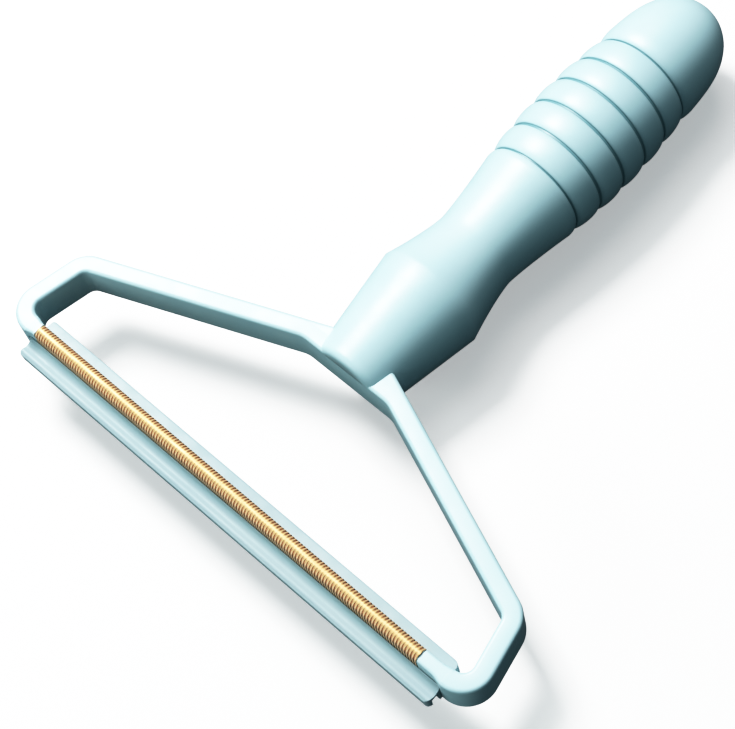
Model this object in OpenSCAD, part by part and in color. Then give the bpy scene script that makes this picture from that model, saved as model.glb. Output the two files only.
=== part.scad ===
// Copper-edged sweater comb: a flat loop frame on a round grip, with a ribbed
// copper comb folded over the front bar and a winged guard strip pressed on from below.
// X runs along the bar, Y from the bar to the domed end of the grip, Z up from the table.

/* [Frame] */
// Width of the loop at the front bar, between the centre lines of its sides
base_w = 138.8; // [120:0.2:160]
// Width of the loop at the shoulders, between the centre lines of its sides
shoulder_w = 130.6; // [110:0.2:140]
// Distance from the bar to the shoulders
side_h = 18.6; // [14:0.1:26]
// Distance from the shoulders to the short bar at the grip
arm_rise = 20.3; // [14:0.1:30]
// Length of the short bar where the arms enter the grip
neck_flat_w = 26.4; // [22:0.1:32]
// Width of the band that the loop is made of
band_w = 4.5; // [3.6:0.1:6]
// Depth of the band, front face to back face
band_d = 9.9; // [8:0.1:12]
// Outer radius of the four corners
corner_r = 7; // [6:0.1:9]
// Inner radius where the arms turn into the short bar
neck_bend_r = 7; // [3:0.1:12]
// Rounding of the band's edges
edge_r = 0.9; // [0.3:0.1:1.4]
// How far the middle of the band lies in front of the grip's axis
band_lift = 1.05; // [0:0.05:2]

/* [Front bar] */
// Thickness of the thin web that the copper is folded over
web_w = 2.6; // [2:0.1:3.2]
// Length of full-width bar that is left beside each corner
web_stop = 0.5; // [0.3:0.1:2]
// Length over which the bar narrows to the width of the comb
shoulder_run = 3.2; // [2:0.1:5]

/* [Tang] */
// How far the frame's tang reaches into the grip, from the short bar
tang_len = 36; // [20:0.5:40]
// Radius of the tang
tang_r = 7.45; // [6:0.05:7.8]
// Width of the two slots that core the tang out
tang_slot_w = 3; // [1:0.1:4]

/* [Grip] */
// Distance from the front bar to the open end of the grip
neck_y = 37; // [36:0.1:39.5]
// Radius of the grip at its open end
neck_r = 9.9; // [9.4:0.1:10.6]
// Rounding of the rim at the open end
rim_r = 1.2; // [0.5:0.1:2]
// Distance from the open end to the ridge of the collar
ridge_run = 26.4; // [24:0.1:30]
// Radius at the ridge
ridge_r = 13.75; // [12.5:0.05:15]
// Distance from the ridge to the waist
waist_run = 15.4; // [12:0.1:20]
// Radius at the waist
waist_r = 10.55; // [9.8:0.05:11.4]
// Distance from the waist to the first groove
tube_run = 20; // [16:0.1:26]
// Radius of the grip just before the first groove
tube_r = 12.95; // [12.4:0.05:13.6]
// Number of rings
ring_count = 5; // [3:1:7]
// Width of one ring, groove to groove
ring_pitch = 7.46; // [6:0.02:9]
// Radius of the middle ring
ring_r = 14.5; // [13.8:0.05:16]
// How much smaller the row of rings gets at its two ends
ring_drop = 1.3; // [0:0.05:1.6]
// Depth of the grooves between the rings
groove_d = 0.9; // [0.4:0.05:1.2]
// Radius of the hollow behind the rings
hollow_r = 11.1; // [9:0.1:11.3]

/* [End cap] */
// Length of the dome, from the last groove to its tip
dome_len = 23.8; // [18:0.1:30]
// Largest radius of the dome
dome_r = 13.3; // [12.8:0.05:14]
// Length of the spigot inside the grip
spigot_len = 9; // [5:0.5:14]
// Wall of the cap and its spigot
cap_wall = 1.7; // [1.4:0.1:3]

/* [Copper comb] */
// Distance from the guard's left end to the comb
comb_inset_left = 2.2; // [1:0.1:12]
// Distance from the guard's right end to the comb
comb_inset_right = 6.3; // [1:0.1:12]
// Thickness of the copper sheet under its ribs
comb_sheet = 0.15; // [0.1:0.01:0.25]
// Height of the ribs on the sheet
comb_rib_h = 0.25; // [0.15:0.01:0.35]
// Distance from one rib to the next
comb_pitch = 0.8; // [0.6:0.01:1.2]
// Width of a rib where it stands on the sheet
comb_rib_w = 0.56; // [0.3:0.01:0.58]
// How far the comb's legs reach down inside the guard
comb_tuck = 3; // [1.5:0.1:4.5]

/* [Guard strip] */
// Distance from the web's middle to the edge of the front wing
wing_front = 6.2; // [5:0.1:8]
// Distance from the web's middle to the edge of the wing on the grip's side
wing_back = 4.4; // [4:0.1:6]
// Height of the two walls beside the comb's legs, from the back of the frame
guard_wall_h = 6.6; // [5.5:0.1:7]
// Thickness of the two walls
guard_wall = 0.8; // [0.6:0.05:1.1]
// Thickness of the floor under the bar
guard_floor = 1.2; // [0.8:0.1:1.6]
// Height of the front wing's crest, from the back of the frame
wing_crest_h = 5.3; // [4.5:0.1:5.5]
// Depth of the valley between the front wing's crest and its wall
valley_d = 0.6; // [0.1:0.05:1]
// How far a wing falls to its edge
wing_fall = 0.5; // [0.2:0.05:1]
// Thickness of the wings' skin and lips
wing_skin = 1; // [0.8:0.1:1.3]
// Height of the lips' lower edges, from the back of the frame
lip_h = 1.4; // [0.4:0.1:2.4]
// Rounding of the wings' corners, seen from above
wing_corner_r = 1.5; // [0.5:0.1:2.4]

/* [Fits] */
// Gap between the copper and the web on each side
comb_gap = 0.05; // [0.02:0.01:0.1]
// Gap between the copper's ribs and the guard's walls
guard_side_gap = 0.3; // [0.1:0.05:0.5]
// Gap on each side of the tang and the cap's spigot
plug_gap = 0.05; // [0.02:0.01:0.15]
// Gap between the frame and the slot of the grip
slot_gap = 0.08; // [0.04:0.01:0.2]
// Gap between the guard and the full-width ends of the bar
guard_gap = 0.3; // [0.2:0.05:0.6]

/* [Hidden] */
plastic = [0.80, 0.93, 0.94];
plastic_shade = [0.74, 0.88, 0.91];
copper = [0.86, 0.56, 0.25];
round_fn = 96;
curve_steps = 10;
shoulder_step = 0.05;
gusset_run = 6.5;

// Heights, measured from the grip's axis
band_top = band_lift + band_d / 2;
band_bottom = band_lift - band_d / 2;

// Corners of the loop's centre line, right half, with the front bar at y = 0
corner_path_r = corner_r - band_w / 2;
neck_path_r = neck_bend_r + band_w / 2;
base_corner = [base_w / 2, 0];
shoulder = [shoulder_w / 2, side_h];
neck_corner = [neck_flat_w / 2, side_h + arm_rise];
neck_back_y = neck_corner[1] + band_w / 2;
bend_steps = 9;

// Front bar, comb and guard
base_turn = turn([0, 0], base_corner, shoulder);
bend_start_x = base_corner[0] - corner_path_r * tan(base_turn / 2);
web_end_x = bend_start_x - web_stop;
guard_end_x = web_end_x - guard_gap;
comb_left_x = -(guard_end_x - comb_inset_left);
comb_right_x = guard_end_x - comb_inset_right;
floor_gap = 2 * comb_gap;
web_bottom = band_bottom + guard_floor + floor_gap;
web_round_z = band_top - web_w / 2;
comb_in_r = web_w / 2 + comb_gap;
comb_out_r = comb_in_r + comb_sheet + comb_rib_h;
guard_in = comb_out_r + guard_side_gap;
guard_out = guard_in + guard_wall;
guard_wall_top = band_bottom + guard_wall_h;
rib_count = floor((comb_right_x - comb_left_x - comb_rib_w) / comb_pitch);

// Stations along the grip
ridge_y = neck_y + ridge_run;
waist_y = ridge_y + waist_run;
ring_y = waist_y + tube_run;
ring_end_y = ring_y + ring_count * ring_pitch;
tip_y = ring_end_y + dome_len;
tang_end_y = neck_corner[1] + tang_len;
bore_r = tang_r + plug_gap;
bore_start_y = neck_corner[1];
bore_end_y = max(tang_end_y + 3, waist_y + 2);
hollow_y = ring_y - 4;
dome_shoulder = dome_len * 0.14;

// The part stands on its rings, centred over its own length
largest_r = max([for (i = [0 : ring_count - 1]) crest(ring_y + (i + 0.5) * ring_pitch)]);
axis_z = max(largest_r, ridge_r, dome_r);
middle_y = (tip_y - wing_front) / 2;

function unit(v) = v / norm(v);
function turn(a, b, c) = acos(unit(b - a) * unit(c - b));
function mirrored(p) = [-p[0], p[1]];

// Stations round the corner b of the path a, b, c: [place, outward direction]
function bend(a, b, c, r) =
    let (
        half = turn(a, b, c) / 2,
        inward = unit(unit(a - b) + unit(c - b)),
        centre = b + inward * r / cos(half),
        out = atan2(-inward[1], -inward[0])
    )
    [
        for (k = [-bend_steps : 2 : bend_steps])
            let (a = out + half * k / bend_steps, way = [cos(a), sin(a)])
                [centre + r * way, way]
    ];

// Stations along the loop, counterclockwise from one end of the web to the other
loop_stations = concat(
    [[[web_end_x, 0], [0, -1]]],
    bend([0, 0], base_corner, shoulder, corner_path_r),
    bend(base_corner, shoulder, neck_corner, corner_path_r),
    bend(shoulder, neck_corner, mirrored(neck_corner), neck_path_r),
    bend(neck_corner, mirrored(neck_corner), mirrored(shoulder), neck_path_r),
    bend(mirrored(neck_corner), mirrored(shoulder), mirrored(base_corner), corner_path_r),
    bend(mirrored(shoulder), mirrored(base_corner), [0, 0], corner_path_r),
    [[[-web_end_x, 0], [0, -1]]]
);

// Envelope of the rings, and the bulge of one ring from groove to groove
function crest(y) =
    let (middle = (ring_y + ring_end_y) / 2, half = (ring_end_y - ring_y) / 2)
    ring_r - ring_drop * pow((y - middle) / half, 2);
function bulge(t) = sqrt(max(0, 1 - pow(abs(2 * t - 1), 2.2)));
function eased(k, n) = (1 - cos(180 * k / n)) / 2;
function ring_points(i) = [
    for (k = [0 : curve_steps - 1])
        let (t = eased(k, curve_steps), y = ring_y + (i + t) * ring_pitch)
            [crest(y) - groove_d * (1 - bulge(t)), y]
];
end_groove_r = crest(ring_end_y) - groove_d;

// Outline of the grip, from the rim at the open end to the last groove
function rim_points() = [
    for (a = [0 : 15 : 90])
        [neck_r - rim_r * (1 - sin(a)), neck_y + rim_r * (1 - cos(a))]
];
function collar_points() = [
    for (k = [0 : curve_steps - 1])
        let (u = 1 - k / curve_steps)
            [waist_r + (ridge_r - waist_r) * pow(u, 1.4), waist_y - u * waist_run]
];
tube_shoulder = ring_pitch / 4;
tube_len = tube_run - tube_shoulder;
function tube_points() = [
    for (k = [0 : curve_steps])
        let (u = k / curve_steps)
            [waist_r + (tube_r - waist_r) * pow(u, 1.3), waist_y + u * tube_len]
];
function tube_end_points() = [
    for (k = [1 : curve_steps / 2 - 1])
        let (t = 0.5 + k / curve_steps)
            [tube_r - (tube_r - end_groove_r) * (1 - bulge(t)),
             waist_y + tube_len + (2 * t - 1) * tube_shoulder]
];

// Outline of the dome, drawn in by a wall for its inside
function dome_radius(u) = (dome_r - 1.4 * u) * sqrt(max(0, 1 - pow(u, 3.2)));
function dome_rise_points() = [
    for (k = [0 : curve_steps / 2 - 1])
        let (t = k / curve_steps)
            [dome_r - (dome_r - end_groove_r) * (1 - bulge(t)), ring_end_y + 2 * t * dome_shoulder]
];
function dome_points(wall) = [
    for (k = [0 : 2 * curve_steps])
        let (u = sin(90 * k / (2 * curve_steps)), run = dome_len - dome_shoulder - wall)
            [max(0, dome_radius(u) - wall * (1 - u)), ring_end_y + dome_shoulder + u * run]
];

// Section of the band with its rounded edges: [outward, up from the grip's axis]
band_section =
    let (
        x = band_w / 2 - edge_r,
        y = band_d / 2 - edge_r,
        corners = [[x, -y, -90], [x, y, 0], [-x, y, 90], [-x, -y, 180]]
    )
    [
        for (c = corners)
            for (a = [0 : 22.5 : 90])
                [c[0] + edge_r * cos(c[2] + a), band_lift + c[1] + edge_r * sin(c[2] + a)]
    ];

// The band, swept along the loop's stations
module loop_band() {
    n = len(band_section);
    last = len(loop_stations) - 1;
    points = [
        for (s = loop_stations)
            for (p = band_section)
                [s[0][0] + p[0] * s[1][0], s[0][1] + p[0] * s[1][1], p[1]]
    ];
    sides = [
        for (i = [0 : last - 1])
            for (k = [0 : n - 1])
                let (a = i * n + k, b = i * n + (k + 1) % n)
                    each [[a, b, a + n], [b, b + n, a + n]]
    ];
    ends = [
        [for (k = [n - 1 : -1 : 0]) k],
        [for (k = [0 : n - 1]) last * n + k]
    ];
    polyhedron(points, concat(sides, ends));
}

// Turns an outline of [radius, distance along the grip] into a solid
module lathe(points) {
    rotate([-90, 0, 0]) rotate_extrude($fn = round_fn) polygon(points);
}

// Rod along the grip's axis from y0 to y1
module rod(r, y0, y1) {
    translate([0, y0, 0]) rotate([-90, 0, 0]) cylinder(h = y1 - y0, r = r, $fn = round_fn);
}

// Extrudes a section of [y, z] along the bar, centred on x = 0
module along_bar(len) {
    translate([-len / 2, 0, 0]) rotate([90, 0, 90]) linear_extrude(len) children();
}

module place() {
    translate([0, -middle_y, axis_z]) children();
}

module web_section() {
    translate([-web_w / 2, web_bottom]) square([web_w, web_round_z - web_bottom]);
    translate([0, web_round_z]) circle(web_w / 2, $fn = 48);
}

// Shoulders that narrow from the ends of the bar to the ends of the comb
module shoulders() {
    half = comb_out_r - shoulder_step;
    bottom = guard_wall_top + floor_gap;
    depth = band_top + shoulder_step - bottom;
    for (end = [[comb_right_x, 1], [-comb_left_x, -1]]) {
        wide_x = web_end_x + web_stop / 2;
        narrow_x = max(end[0] + floor_gap, web_end_x - shoulder_run);
        scale([end[1], 1, 1]) {
            hull() {
                translate([wide_x, 0, bottom]) shoulder_slice(band_w / 2 - shoulder_step, depth);
                translate([narrow_x, 0, bottom]) shoulder_slice(half, depth);
            }
            if (narrow_x > end[0] + 2 * floor_gap)
                translate([end[0] + floor_gap, 0, bottom]) {
                    shoulder_slice(half, depth, narrow_x - end[0]);
                }
        }
    }
}

module shoulder_slice(half, depth, len = 0.1) {
    rotate([90, 0, 90]) linear_extrude(len) polygon([
        [-half, 0], [half, 0], [half, depth - edge_r], [half - edge_r / 3, depth - edge_r / 3],
        [half - edge_r, depth], [edge_r - half, depth], [edge_r / 3 - half, depth - edge_r / 3],
        [-half, depth - edge_r]
    ]);
}

// Outline of the gusset that carries the arms' outer edges straight into the grip
module gusset_outline() {
    along = unit(shoulder - neck_corner);
    out = [-along[1], along[0]] * (band_w / 2 - shoulder_step);
    right = [neck_corner, neck_corner + 3 * along + out, neck_corner - gusset_run * along + out];
    polygon(concat(right, [for (i = [2 : -1 : 0]) mirrored(right[i])]));
}

module tang() {
    difference() {
        intersection() {
            rod(tang_r, neck_corner[1], tang_end_y);
            translate([-tang_r, neck_corner[1], band_bottom + edge_r])
                cube([2 * tang_r, tang_len, band_d - 2 * edge_r]);
        }
        for (x = [-1, 1])
            translate([x * tang_r / 2 - tang_slot_w / 2, neck_back_y + tang_slot_w, band_bottom])
                cube([tang_slot_w, tang_end_y - neck_back_y - 2 * tang_slot_w, band_d]);
    }
}

module frame() {
    color(plastic) place() {
        loop_band();
        along_bar(2 * web_end_x + web_stop) web_section();
        shoulders();
        translate([0, 0, band_bottom + shoulder_step])
            linear_extrude(band_d - 2 * shoulder_step) gusset_outline();
        tang();
    }
}

// Room for the frame's short bar, which leaves only the grip's upper lip in front of it
module neck_slot() {
    translate([-2 * neck_r, neck_y - 1, -2 * neck_r])
        cube([4 * neck_r, neck_back_y + slot_gap - neck_y + 1, band_top + slot_gap + 2 * neck_r]);
    translate([0, 0, band_bottom - slot_gap])
        linear_extrude(band_d + 2 * slot_gap) offset(delta = slot_gap) gusset_outline();
}

module grip() {
    rings = [for (i = [0 : ring_count - 1]) each ring_points(i)];
    color(plastic) place()
        difference() {
            lathe(concat(
                [[0, neck_y]],
                rim_points(),
                collar_points(),
                tube_points(),
                tube_end_points(),
                rings,
                [[end_groove_r, ring_end_y], [0, ring_end_y]]
            ));
            neck_slot();
            lathe([
                [0, bore_start_y],
                [bore_r, bore_start_y],
                [bore_r, bore_end_y],
                [hollow_r, hollow_y],
                [hollow_r, ring_end_y + 1],
                [0, ring_end_y + 1]
            ]);
        }
}

module end_cap() {
    spigot_r = hollow_r - plug_gap;
    color(plastic) place()
        difference() {
            union() {
                lathe(concat(
                    [[0, ring_end_y]],
                    dome_rise_points(),
                    dome_points(0)
                ));
                rod(spigot_r, ring_end_y - spigot_len, ring_end_y + 1);
            }
            rod(spigot_r - cap_wall, ring_end_y - spigot_len - 1, ring_end_y + dome_shoulder + 1);
            lathe(concat(
                [[0, ring_end_y + dome_shoulder], [spigot_r - cap_wall, ring_end_y + dome_shoulder]],
                [for (p = dome_points(cap_wall)) [min(p[0], spigot_r - cap_wall + 1), p[1]]]
            ));
        }
}

// Outline of the ribbed sheet along the bar: [x, distance from the bar's middle]
function rib_points() =
    let (
        first = (comb_left_x + comb_right_x - (rib_count - 1) * comb_pitch) / 2,
        top = comb_rib_w * 0.3
    )
    [
        for (i = [0 : rib_count - 1])
            let (x = first + i * comb_pitch)
                each [
                    [x - comb_rib_w / 2, comb_in_r + comb_sheet],
                    [x - top, comb_out_r],
                    [x + top, comb_out_r],
                    [x + comb_rib_w / 2, comb_in_r + comb_sheet]
                ]
    ];

module rib_outline() {
    polygon(concat(
        [[comb_left_x, comb_in_r], [comb_left_x, comb_in_r + comb_sheet]],
        rib_points(),
        [[comb_right_x, comb_in_r + comb_sheet], [comb_right_x, comb_in_r]]
    ));
}

module copper_comb() {
    leg_bottom = guard_wall_top - comb_tuck;
    color(copper) place() {
        translate([0, 0, web_round_z])
            rotate([0, 90, 0]) rotate([0, 0, 90])
                rotate_extrude(angle = 180, $fn = 64) rotate([0, 0, -90]) mirror([1, 0]) rib_outline();
        for (side = [-1, 1])
            translate([0, 0, leg_bottom])
                linear_extrude(web_round_z - leg_bottom) scale([1, side]) rib_outline();
    }
}

// Top of a wing from its wall to its edge: [outward from the bar, up from the grip's axis]
function wing_top(reach) = [
    for (k = [0 : 2 * curve_steps])
        let (u = k / (2 * curve_steps), run = reach - guard_out)
            [guard_out + u * run,
             band_bottom + wing_crest_h
                 - (u < 0.5 ? valley_d * pow(cos(180 * u), 2) : wing_fall * pow(2 * u - 1, 2))]
];

// Top of the back wing, which is level with its wall
function back_wing_top(reach) = [
    for (k = [1 : curve_steps])
        let (u = k / curve_steps)
            [guard_out + u * (reach - guard_out), guard_wall_top - wing_fall * u * u]
];

// One side of the guard, from the floor's top over the wall and the wing to the foot
function guard_side(reach, top, ceiling) =
    concat(
        [
            [guard_in, band_bottom + guard_floor],
            [guard_in, guard_wall_top]
        ],
        top,
        [
            [reach - wing_skin / 4, band_bottom + lip_h],
            [reach - wing_skin, band_bottom + lip_h],
            [reach - 1.25 * wing_skin, ceiling],
            [guard_out, ceiling],
            [guard_out, band_bottom]
        ]
    );

module guard_section() {
    front = guard_side(
        wing_front,
        concat([[guard_out, guard_wall_top]], wing_top(wing_front)),
        band_bottom + wing_crest_h - valley_d - wing_skin
    );
    polygon(concat(
        guard_side(wing_back, back_wing_top(wing_back), guard_wall_top - wing_fall - wing_skin),
        [for (i = [len(front) - 1 : -1 : 0]) mirrored(front[i])]
    ));
}

// The guard seen from above, a rectangle with round corners
module guard_plan() {
    r = wing_corner_r;
    x = guard_end_x;
    translate([-x, -wing_front + r]) square([2 * x, wing_front + wing_back - 2 * r]);
    translate([-x + r, -wing_front]) square([2 * (x - r), wing_front + wing_back]);
    for (sx = [-1, 1], y = [-wing_front + r, wing_back - r])
        translate([sx * (x - r), y]) circle(r, $fn = 48);
}

module guard_strip() {
    color(plastic_shade) place()
        intersection() {
            along_bar(2 * guard_end_x) guard_section();
            translate([0, 0, band_bottom - 1]) linear_extrude(guard_wall_h + 2) guard_plan();
        }
}

frame();
grip();
end_cap();
copper_comb();
guard_strip();
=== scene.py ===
"""Looks of a copper-edged sweater comb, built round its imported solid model.

X runs along the copper edge, Y from it to the domed end of the grip, and Z up from the table.
Sizes are in millimetres, and the finished meshes are in metres in the solid model's frame.
"""

import logging
import math
from dataclasses import dataclass, field
from enum import Enum

import bmesh
import bpy
from mathutils import Matrix, Vector


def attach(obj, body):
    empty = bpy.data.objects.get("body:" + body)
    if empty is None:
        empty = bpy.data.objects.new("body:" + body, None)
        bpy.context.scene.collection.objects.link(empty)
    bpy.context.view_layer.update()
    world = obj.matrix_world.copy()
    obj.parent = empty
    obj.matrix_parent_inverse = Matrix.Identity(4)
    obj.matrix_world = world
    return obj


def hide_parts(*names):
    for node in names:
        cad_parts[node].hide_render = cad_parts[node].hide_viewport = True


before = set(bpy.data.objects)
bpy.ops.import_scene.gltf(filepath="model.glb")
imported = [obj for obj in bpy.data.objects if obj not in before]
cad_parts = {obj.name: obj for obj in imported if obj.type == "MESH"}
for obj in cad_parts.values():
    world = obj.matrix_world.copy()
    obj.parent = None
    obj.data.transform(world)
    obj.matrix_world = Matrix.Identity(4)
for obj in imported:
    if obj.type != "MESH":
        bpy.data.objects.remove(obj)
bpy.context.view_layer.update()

MM = 0.001
BAR_Y = -76.85  # The front bar's middle line
AXIS_Z = 14.5  # Height of the bar's and the grip's axis above the table
# Name of the mesh mark for the painted shade in the grip's grooves
GROOVE_SHADE = "groove_shade"
IMAGE_WIDTH_PX = 735
LOG = logging.getLogger("sweater_comb")

Colour = tuple[float, float, float]
Outline = list[tuple[float, float]]
Element = bmesh.types.BMVert | bmesh.types.BMEdge | bmesh.types.BMFace

# Stand a flat section up, so that it faces along X or along Y
SECTION_YZ = Matrix(((0, 0, -1, 0), (-1, 0, 0, 0), (0, 1, 0, 0), (0, 0, 0, 1)))
SECTION_XZ = Matrix(((1, 0, 0, 0), (0, 0, -1, 0), (0, 1, 0, 0), (0, 0, 0, 1)))


class Body(Enum):
    """Rigid bodies of the solid model."""

    HANDLE = "handle"
    COMB = "comb"
    GUARD = "guard"


class Slot(Enum):
    """Material slots of the record."""

    PLASTIC = "aqua_plastic"
    COPPER = "copper_edge"


def ease(value: float, low: float, high: float) -> float:
    """Steps smoothly from 0 to 1.

    Args:
        value: Where to look.
        low: Value at and below which the result is 0.
        high: Value at and above which the result is 1.

    Returns:
        The eased share, from 0 to 1.
    """
    t = min(1.0, max(0.0, (value - low) / (high - low)))
    return t * t * (3 - 2 * t)


def mirrored(points: list[Vector]) -> list[Vector]:
    """Mirrors points from the right half to the left one, in reverse order."""
    return [Vector((-p.x, p.y, p.z)) for p in reversed(points)]


# ---- Materials ----


class Graph:
    """A material's node tree, with short ways to add and join nodes."""

    def __init__(self, name: str) -> None:
        """Starts an empty material.

        Args:
            name: The material's name.
        """
        self.material = bpy.data.materials.new(name)
        self.material.use_nodes = True
        self.tree = self.material.node_tree
        self.tree.nodes.clear()
        self.output = self.add("ShaderNodeOutputMaterial")

    def add(self, kind: str, **settings: object) -> bpy.types.Node:
        """Adds a node.

        Args:
            kind: Blender's name for the node type.
            settings: Properties to set on the node.

        Returns:
            The new node.
        """
        node = self.tree.nodes.new(kind)
        for key, value in settings.items():
            setattr(node, key, value)
        return node

    def join(self, start: bpy.types.NodeSocket, end: bpy.types.NodeSocket) -> None:
        """Links one socket to another."""
        self.tree.links.new(start, end)

    def place(self, scale: tuple[float, float, float]) -> bpy.types.NodeSocket:
        """Gives object coordinates, scaled.

        Args:
            scale: Factor along X, Y and Z.

        Returns:
            The socket with the scaled coordinates.
        """
        where = self.add("ShaderNodeTexCoord")
        mapping = self.add("ShaderNodeMapping")
        mapping.inputs["Scale"].default_value = scale
        self.join(where.outputs["Object"], mapping.inputs["Vector"])
        return mapping.outputs["Vector"]

    def noise(
        self, scale: tuple[float, float, float], detail: float, rough: float = 0.5
    ) -> bpy.types.NodeSocket:
        """Adds a noise pattern on object coordinates.

        Args:
            scale: Features per metre along X, Y and Z.
            detail: Number of finer octaves.
            rough: How strong the finer octaves are.

        Returns:
            The socket with the noise value.
        """
        node = self.add("ShaderNodeTexNoise")
        node.inputs["Scale"].default_value = 1.0
        node.inputs["Detail"].default_value = detail
        node.inputs["Roughness"].default_value = rough
        self.join(self.place(scale), node.inputs["Vector"])
        return node.outputs["Fac"]

    def remap(
        self,
        value: bpy.types.NodeSocket,
        source: tuple[float, float],
        target: tuple[float, float],
    ) -> bpy.types.NodeSocket:
        """Maps one range of values to another, clamped.

        Args:
            value: The value to map.
            source: Range that it is taken from.
            target: Range that it is taken to.

        Returns:
            The socket with the mapped value.
        """
        node = self.add("ShaderNodeMapRange", interpolation_type="SMOOTHSTEP")
        for socket, number in zip(("From Min", "From Max"), source):
            node.inputs[socket].default_value = number
        for socket, number in zip(("To Min", "To Max"), target):
            node.inputs[socket].default_value = number
        self.join(value, node.inputs["Value"])
        return node.outputs["Result"]

    def compute(
        self, operation: str, value: bpy.types.NodeSocket, number: float
    ) -> bpy.types.NodeSocket:
        """Does sums with a value and a number.

        Args:
            operation: Blender's name for the operation.
            value: The value.
            number: The number.

        Returns:
            The socket with the result.
        """
        node = self.add("ShaderNodeMath", operation=operation)
        self.join(value, node.inputs[0])
        node.inputs[1].default_value = number
        return node.outputs[0]

    def blend(
        self,
        share: bpy.types.NodeSocket,
        first: Colour | bpy.types.NodeSocket,
        second: Colour | bpy.types.NodeSocket,
    ) -> bpy.types.NodeSocket:
        """Mixes two colours.

        Args:
            share: How much of the second colour shows.
            first: A colour, or a socket with one.
            second: A colour, or a socket with one.

        Returns:
            The socket with the mixed colour.
        """
        node = self.add("ShaderNodeMix", data_type="RGBA")
        self.join(share, node.inputs[0])
        for socket, colour in ((node.inputs[6], first), (node.inputs[7], second)):
            if isinstance(colour, bpy.types.NodeSocket):
                self.join(colour, socket)
            else:
                socket.default_value = (*colour, 1.0)
        return node.outputs[2]

    def bump(
        self,
        height: bpy.types.NodeSocket,
        strength: float,
        depth: float,
        under: bpy.types.NodeSocket | None = None,
    ) -> bpy.types.NodeSocket:
        """Turns a height into a normal.

        Args:
            height: Height of the relief, from 0 to 1.
            strength: How strongly it shows.
            depth: Depth of the relief in metres.
            under: Normal of a relief below this one.

        Returns:
            The socket with the normal.
        """
        node = self.add("ShaderNodeBump")
        node.inputs["Strength"].default_value = strength
        node.inputs["Distance"].default_value = depth
        self.join(height, node.inputs["Height"])
        if under is not None:
            self.join(under, node.inputs["Normal"])
        return node.outputs["Normal"]


@dataclass(frozen=True)
class MouldedPlastic:
    """Glossy injection-moulded plastic, with flow marks, fine grain and rubbed edges.

    Flow and grain are in features per metre and depths in metres. The two curving ranges say at
    which pointiness the wear along edges and the painted shade in hollows start and are full. The
    marked grooves get painted shade as well, in the same dark colour.
    """

    name: str
    colour: Colour
    deep: Colour
    rubbed: Colour
    # Dark colour of the painted shade in hollows and in the marked grooves
    crevice_shade: Colour = (0.1, 0.24, 0.27)
    coat: float = 0.2
    coat_roughness: float = 0.3
    roughness: tuple[float, float] = (0.36, 0.48)
    flow: tuple[float, float, float] = (70.0, 25.0, 70.0)
    edge_curving: tuple[float, float] = (0.52, 0.62)
    # Pointiness range of the painted shade in hollows: full at the first value, gone at the second
    hollow_curving: tuple[float, float] = (0.4, 0.47)
    edge_wear: float = 0.6
    # Strength of the painted shade in hollows
    hollow_shade: float = 0.8
    # Strength of the painted shade in the marked grooves
    groove_shade_strength: float = 0.85
    wave_depth: float = 0.00008
    grain: float = 3200.0
    grain_depth: float = 0.00002

    def make(self) -> bpy.types.Material:
        """Builds the material.

        Returns:
            The finished material.
        """
        g = Graph(self.name)
        shader = g.add("ShaderNodeBsdfPrincipled")
        shader.inputs["Coat Weight"].default_value = self.coat
        shader.inputs["Coat Roughness"].default_value = self.coat_roughness
        flow = g.remap(g.noise(self.flow, 3.0), (0.35, 0.65), (0.0, 1.0))
        tint = g.blend(flow, self.colour, self.deep)
        curving = g.add("ShaderNodeNewGeometry").outputs["Pointiness"]
        edges = g.remap(curving, self.edge_curving, (0.0, self.edge_wear))
        # Painted shade: hollows, found by their low pointiness, are darkened towards the dark
        # colour
        hollows = g.remap(curving, self.hollow_curving, (self.hollow_shade, 0.0))
        rubbed = g.blend(edges, tint, self.rubbed)
        hollow_shaded = g.blend(hollows, rubbed, self.crevice_shade)
        # Painted shade in the grooves, read from the mark on the mesh
        mark = g.add("ShaderNodeAttribute", attribute_name=GROOVE_SHADE).outputs["Fac"]
        groove_shade = g.remap(mark, (0.0, 1.0), (0.0, self.groove_shade_strength))
        g.join(g.blend(groove_shade, hollow_shaded, self.crevice_shade), shader.inputs["Base Color"])
        handled = g.noise((220.0, 220.0, 220.0), 4.0, 0.6)
        g.join(g.remap(handled, (0.3, 0.7), self.roughness), shader.inputs["Roughness"])
        waves = g.bump(g.noise((120.0, 60.0, 120.0), 2.0), 0.12, self.wave_depth)
        grain = g.bump(g.noise((self.grain,) * 3, 2.0), 0.05, self.grain_depth, waves)
        g.join(grain, shader.inputs["Normal"])
        g.join(shader.outputs["BSDF"], g.output.inputs["Surface"])
        return g.material


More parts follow.
